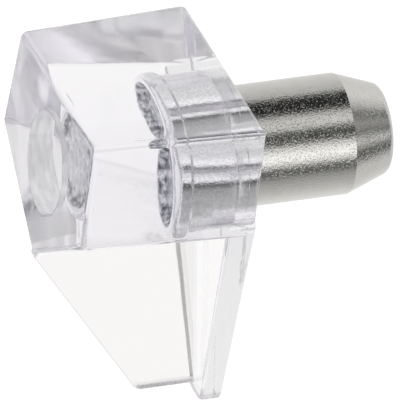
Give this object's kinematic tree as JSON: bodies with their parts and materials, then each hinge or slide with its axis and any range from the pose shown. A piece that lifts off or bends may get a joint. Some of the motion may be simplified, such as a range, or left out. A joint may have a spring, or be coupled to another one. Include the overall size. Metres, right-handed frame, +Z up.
{
  "type": "shelf support pin",
  "caption": "Clear moulded shelf support with a ribbed wall plate and a plated steel pin that plugs into a cabinet side.",
  "frame": {"origin": "pin axis where it meets the wall face of the bracket", "axes": "+X along the pin towards its tip and into the wall, +Z up, shelf rests on the flat top"},
  "size_m": [0.0149, 0.011, 0.0153],
  "materials": {
    "clear_plastic": "clear, polished",
    "plated_steel": "plated, tumbled satin"
  },
  "bodies": {
    "root": {"bracket": "clear_plastic", "steel_pin": "plated_steel"}
  },
  "joints": []
}
